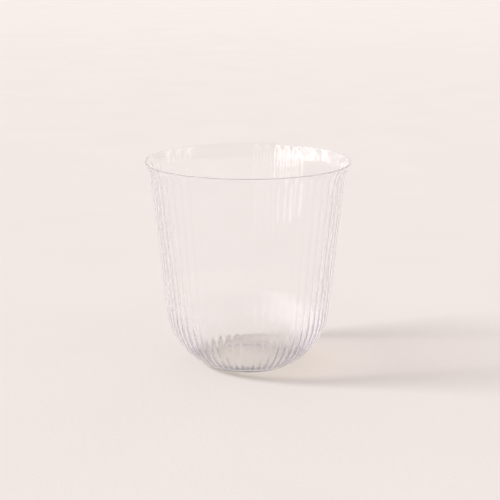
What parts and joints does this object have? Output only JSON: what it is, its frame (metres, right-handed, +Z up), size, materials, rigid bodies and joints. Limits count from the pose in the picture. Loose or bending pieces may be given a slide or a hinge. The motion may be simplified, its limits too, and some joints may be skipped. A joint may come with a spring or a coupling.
{
  "type": "juice glass",
  "caption": "Thin clear glass tumbler, smooth outside and finely ribbed inside, with a rounded belly, a small flat foot and a plain flared lip, for drinking juice.",
  "frame": {"origin": "centre of the foot, on the table", "axes": "+Z up along the glass's axis; X and Y are alike, because the glass is round"},
  "size_m": [0.08, 0.08, 0.0815],
  "materials": {
    "clear_glass": "fire-polished"
  },
  "bodies": {
    "root": {"tumbler": "clear_glass"}
  },
  "joints": []
}
